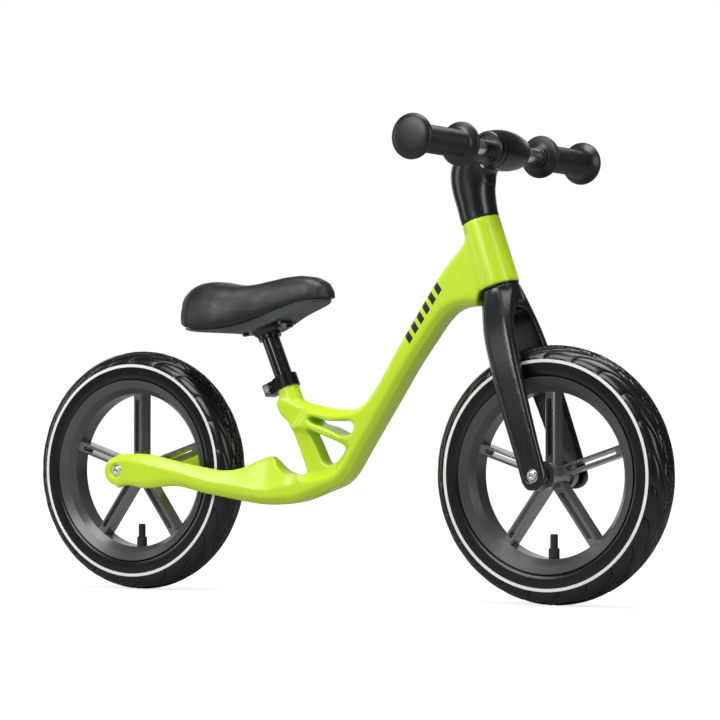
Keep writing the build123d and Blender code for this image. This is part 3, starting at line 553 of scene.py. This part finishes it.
def roundTree():
    # Copies of one segment, turned evenly about the wheel's axis and joined.
    sockets = [("Segment", "NodeSocketObject"), ("Count", "NodeSocketInt"), ("Merge", "NodeSocketFloat"),
               ("Finish", "NodeSocketMaterial")]
    tree, given, result = nodeTree("carryRound", sockets)
    add, link = tree.nodes.new, tree.links.new
    info = add("GeometryNodeObjectInfo")
    points = add("GeometryNodePoints")
    index = add("GeometryNodeInputIndex")
    divide = add("ShaderNodeMath")
    divide.operation = "DIVIDE"
    turn = add("ShaderNodeMath")
    turn.operation = "MULTIPLY"
    turn.inputs[1].default_value = 2 * math.pi
    angles = add("ShaderNodeCombineXYZ")
    place = add("GeometryNodeInstanceOnPoints")
    real = add("GeometryNodeRealizeInstances")
    merge = add("GeometryNodeMergeByDistance")
    paint = add("GeometryNodeSetMaterial")
    link(given.outputs["Segment"], info.inputs["Object"])
    link(given.outputs["Count"], points.inputs["Count"])
    link(index.outputs[0], divide.inputs[0])
    link(given.outputs["Count"], divide.inputs[1])
    link(divide.outputs[0], turn.inputs[0])
    link(turn.outputs[0], angles.inputs["Y"])
    link(points.outputs[0], place.inputs["Points"])
    link(info.outputs["Geometry"], place.inputs["Instance"])
    link(angles.outputs[0], place.inputs["Rotation"])
    link(place.outputs[0], real.inputs[0])
    link(real.outputs[0], merge.inputs["Geometry"])
    link(given.outputs["Merge"], merge.inputs["Distance"])
    link(merge.outputs[0], paint.inputs["Geometry"])
    link(given.outputs["Finish"], paint.inputs["Material"])
    link(paint.outputs[0], result.inputs["Geometry"])
    return tree


carryRound = roundTree()


def makeTyre(end, segment):
    values = {"Segment": segment, "Count": tyreLook["pitches"], "Merge": tyreLook["merge"],
              "Finish": mats["tyreRubber"]}
    obj = runTree(f"{end}TyreTread", carryRound, values)
    turnNormalsOut(obj, tyreLook["tidyMerge"])
    obj.data.transform(Matrix.Translation(nodeCentre(f"{end}_rim")))
    obj.data.polygons.foreach_set("use_smooth", [True] * len(obj.data.polygons))
    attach(obj, f"{end}_wheel")
    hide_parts(f"{end}_tyre")
    return obj


segment = tyrePitch("tyreSegment", mats["tyreRubber"])
for end in ("rear", "front"):
    makeTyre(end, segment)
bpy.data.objects.remove(segment)
print("stage: tyres")


# Saddle cover. Its tables are in millimetres, forward of the rear axle.

saddleLook = {
    "stations": 56, "around": 40, "tail": 76.8, "nose": 286.7, "axleX": -295.5, "fill": 0.95,
    "sideSquare": 0.60, "topSquare": 0.76, "tuck": 0.03, "tuckHeight": 3.2,
    "seamHeight": 0.352, "seamDepth": 0.0012, "seamWidth": 0.0022, "seamEnd": 210, "seamFade": 60,
    "halfWidth": [(76.5, 0), (77.5, 12), (80, 22), (90, 42), (106, 55), (128, 61.5), (150, 60.5), (172, 52),
                  (194, 40.5), (216, 32), (240, 27), (262, 23.5), (277, 17.5), (285, 9), (286.4, 5), (287, 0)],
    "top": [(76.5, 352), (77.5, 358), (80, 364), (86, 371), (92, 375.4), (100, 379.8), (112, 383.6), (125, 384.8),
            (145, 381.3), (166, 378.8), (185, 380.2), (205, 384), (225, 387.8), (245, 389.5), (262, 387.5),
            (276, 381.3), (284, 372.5), (286.4, 367), (287, 363)],
    "low": [(76.5, 351), (78.5, 344), (83, 337), (92, 331), (104, 327.4), (125, 324.8), (150, 324.8), (174, 329.5),
            (197, 338), (218, 347.4), (240, 354.7), (263, 359.8), (284, 361.8), (287, 362.6)],
}


def readTable(table, x):
    for (x0, v0), (x1, v1) in zip(table, table[1:]):
        if x <= x1:
            t = (x - x0) / (x1 - x0)
            return v0 + (v1 - v0) * t
    return table[-1][1]


def makeSaddle():
    look = saddleLook
    verts, faces = [], []
    count, ring = look["stations"], look["around"]
    for i in range(count + 1):
        t = (1 - math.cos(math.pi * i / count)) / 2
        x = look["tail"] + (look["nose"] - look["tail"]) * t
        half, top, low = (readTable(look[key], x) for key in ("halfWidth", "top", "low"))
        fade = min(1, (look["seamEnd"] - x) / look["seamFade"] if x < look["seamEnd"] else 0)
        for j in range(ring + 1):
            angle = math.pi * j / ring
            c, s = math.cos(angle), math.sin(angle)
            y = half * math.copysign(abs(c) ** look["sideSquare"], c)
            z = low + (top - low) * s ** look["topSquare"]
            near = math.exp(-((z / 1000 - look["seamHeight"]) / look["seamWidth"]) ** 2)
            dip = near * look["seamDepth"] * 1000 * fade
            y -= math.copysign(dip, c)
            y *= 1 - look["tuck"] * math.exp(-((z - low) / look["tuckHeight"]) ** 2)
            verts.append(((x + look["axleX"]) * millimetre, y * millimetre, z * millimetre))
    for i in range(count):
        for j in range(ring):
            a = i * (ring + 1) + j
            faces.append((a, a + ring + 1, a + ring + 2, a + 1))
    # Underside, straight across between the two lower edges.
    for i in range(count):
        a = i * (ring + 1)
        faces.append((a, a + ring, a + ring + ring + 1, a + ring + 1))
    faces.append(tuple(range(ring, -1, -1)))
    last = count * (ring + 1)
    faces.append(tuple(last + j for j in range(ring + 1)))
    cover = meshObject("saddleCover", verts, faces, mats["saddleCover"])
    turnNormalsOut(cover)
    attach(cover, "seat")
    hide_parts("saddle_pad")
    return cover


makeSaddle()
print("stage: saddle")


# Grips: two flanges and a finely ribbed barrel, turned about the bar.

gripLook = {
    "ribs": 34, "ribHeight": 0.0006, "ribStart": 0.1045, "ribStop": 0.0235, "barrelRadius": 0.0162,
    "flangeRadius": 0.0256, "end": 0.207, "round": 72,
}


def gripOutline():
    # Radius and distance from the centre plane. The inner end is left open round the bar, and there is no bore.
    look = gripLook
    end, r = look["end"], look["flangeRadius"]
    outline = [(0.0096, 0.086), (0.0122, 0.0861), (0.0126, 0.087), (0.0128, 0.0905), (0.0140, 0.0925),
               (r - 0.002, 0.0930), (r - 0.0004, 0.0937), (r, 0.0948), (r - 0.0003, 0.0966), (r - 0.0015, 0.0976),
               (0.0200, 0.0994), (0.0176, 0.1010), (0.0167, 0.1030)]
    ribStart, ribEnd = look["ribStart"], end - look["ribStop"]
    pitch = (ribEnd - ribStart) / look["ribs"]
    high = look["barrelRadius"]
    low = high - look["ribHeight"]
    for k in range(look["ribs"]):
        base = ribStart + (ribEnd - ribStart) * k / look["ribs"]
        outline += [(low, base), (low, base + pitch * 0.3), (high, base + pitch * 0.45), (high, base + pitch * 0.85)]
    outline += [(0.0166, end - 0.0215), (0.0180, end - 0.0165), (0.0210, end - 0.0118), (0.0245, end - 0.0088),
                (r + 0.0002, end - 0.0074), (r + 0.0004, end - 0.0058), (r, end - 0.0042), (r - 0.0020, end - 0.0024),
                (r - 0.0065, end - 0.0010), (0.0120, end - 0.0004), (0.0060, end - 0.0001), (0.0, end)]
    return outline


def makeGrip(name, side):
    look = gripLook
    outline = gripOutline()
    centre = nodeCentre("handlebar")
    verts, faces = [], []
    steps = look["round"]
    for r, w in outline:
        for k in range(steps):
            a = 2 * math.pi * k / steps
            verts.append((centre.x + r * math.cos(a), side * w, centre.z + r * math.sin(a)))
    for i in range(len(outline) - 1):
        for k in range(steps):
            a, b = i * steps + k, i * steps + (k + 1) % steps
            faces.append((a, b, b + steps, a + steps))
    obj = meshObject(name, verts, faces, mats["gripRubber"])
    turnNormalsOut(obj)
    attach(obj, "fork")
    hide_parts("grip_left" if side > 0 else "grip_right")
    return obj


makeGrip("gripLeftRibbed", 1)
makeGrip("gripRightRibbed", -1)
print("stage: grips")


# Studio: pale floor, white surround, soft lights and the camera.

studioLook = {
    "floorSize": 60.0, "floorShade": 0.42, "floorRough": 0.9, "floorSpecular": 0.1, "floorNear": 0.76, "floorFar": 1.0,
    "nearAt": 0.9, "farAt": 2.4, "surround": 0.10,
    "softBoxes": {
        "topBox": dict(place=(0.25, -0.25, 2.3), aim=(0, 0, 0.2), size=(1.9, 1.1), power=50.0),
        "keyBox": dict(place=(-0.6, -2.6, 1.7), aim=(0, 0, 0.3), size=(1.5, 1.5), power=50.0),
        "sideBox": dict(place=(2.7, -0.9, 1.1), aim=(0, 0, 0.3), size=(0.9, 1.7), power=20.0),
        "leftBox": dict(place=(-2.5, -1.3, 0.8), aim=(0, 0, 0.35), size=(0.8, 1.8), power=11.0),
        "backPanel": dict(place=(-1.5, 2.4, 0.9), aim=(0, 0, 0.35), size=(4.2, 1.7), power=20.0),
    },
}


def makeFloor():
    # Pale all over, brightest away from the bike, so that only a soft contact shadow is left.
    look = studioLook
    size = look["floorSize"]
    corners = [(-size, -size, 0), (size, -size, 0), (size, size, 0), (-size, size, 0)]
    mat = bpy.data.materials.new("studioFloor")
    floor = meshObject("studioFloor", corners, [(0, 1, 2, 3)], mat, smooth=False)
    mat.use_nodes = True
    tree = mat.node_tree
    shader = tree.nodes["Principled BSDF"]
    shade = look["floorShade"]
    shader.inputs["Base Color"].default_value = (shade, shade, shade, 1)
    shader.inputs["Roughness"].default_value = look["floorRough"]
    shader.inputs["Specular IOR Level"].default_value = look["floorSpecular"]
    coords = tree.nodes.new("ShaderNodeTexCoord")
    length = tree.nodes.new("ShaderNodeVectorMath")
    length.operation = "LENGTH"
    tree.links.new(coords.outputs["Object"], length.inputs[0])
    glow = spread(tree, length.outputs["Value"], look["nearAt"], look["farAt"], look["floorNear"], look["floorFar"])
    path = tree.nodes.new("ShaderNodeLightPath")
    shader.inputs["Emission Color"].default_value = (1, 1, 1, 1)
    tree.links.new(mathOn(tree, "MULTIPLY", glow, path.outputs["Is Camera Ray"]), shader.inputs["Emission Strength"])


def makeSurround():
    world = bpy.data.worlds.new("surround")
    scene.world = world
    world.use_nodes = True
    tree = world.node_tree
    back = tree.nodes["Background"]
    back.inputs["Color"].default_value = (1, 1, 1, 1)
    back.inputs["Strength"].default_value = studioLook["surround"]
    seen = tree.nodes.new("ShaderNodeBackground")
    seen.inputs["Color"].default_value = (1, 1, 1, 1)
    seen.inputs["Strength"].default_value = 1.0
    path = tree.nodes.new("ShaderNodeLightPath")
    mix = tree.nodes.new("ShaderNodeMixShader")
    out = tree.nodes["World Output"]
    tree.links.new(path.outputs["Is Camera Ray"], mix.inputs[0])
    tree.links.new(back.outputs[0], mix.inputs[1])
    tree.links.new(seen.outputs[0], mix.inputs[2])
    tree.links.new(mix.outputs[0], out.inputs["Surface"])


def softLight(name, place, target, size, power):
    data = bpy.data.lights.new(name, "AREA")
    data.shape = "RECTANGLE"
    data.size, data.size_y = size
    data.energy = power
    lamp = bpy.data.objects.new(name, data)
    scene.collection.objects.link(lamp)
    lamp.location = place
    lamp.rotation_euler = (Vector(target) - Vector(place)).to_track_quat("-Z", "Y").to_euler()
    lamp.visible_camera = False
    return lamp


cameraLook = {
    "place": (1.8348, -2.8537, 0.2163), "turned": 32.301, "raised": 1.177, "lens": 140.12, "sensor": 36.0,
    "farEnd": 200.0,
}


def makeCamera():
    look = cameraLook
    data = bpy.data.cameras.new("view")
    camera = bpy.data.objects.new("view", data)
    scene.collection.objects.link(camera)
    data.lens = look["lens"]
    data.sensor_width = look["sensor"]
    data.clip_end = look["farEnd"]
    turned, raised = math.radians(look["turned"]), math.radians(look["raised"])
    camera.location = look["place"]
    ahead = Vector((-math.sin(turned) * math.cos(raised), math.cos(turned) * math.cos(raised), math.sin(raised)))
    camera.rotation_euler = ahead.to_track_quat("-Z", "Y").to_euler()
    scene.camera = camera


makeFloor()
makeSurround()
for name, box in studioLook["softBoxes"].items():
    softLight(name, box["place"], box["aim"], box["size"], box["power"])
makeCamera()
print("stage: studio")
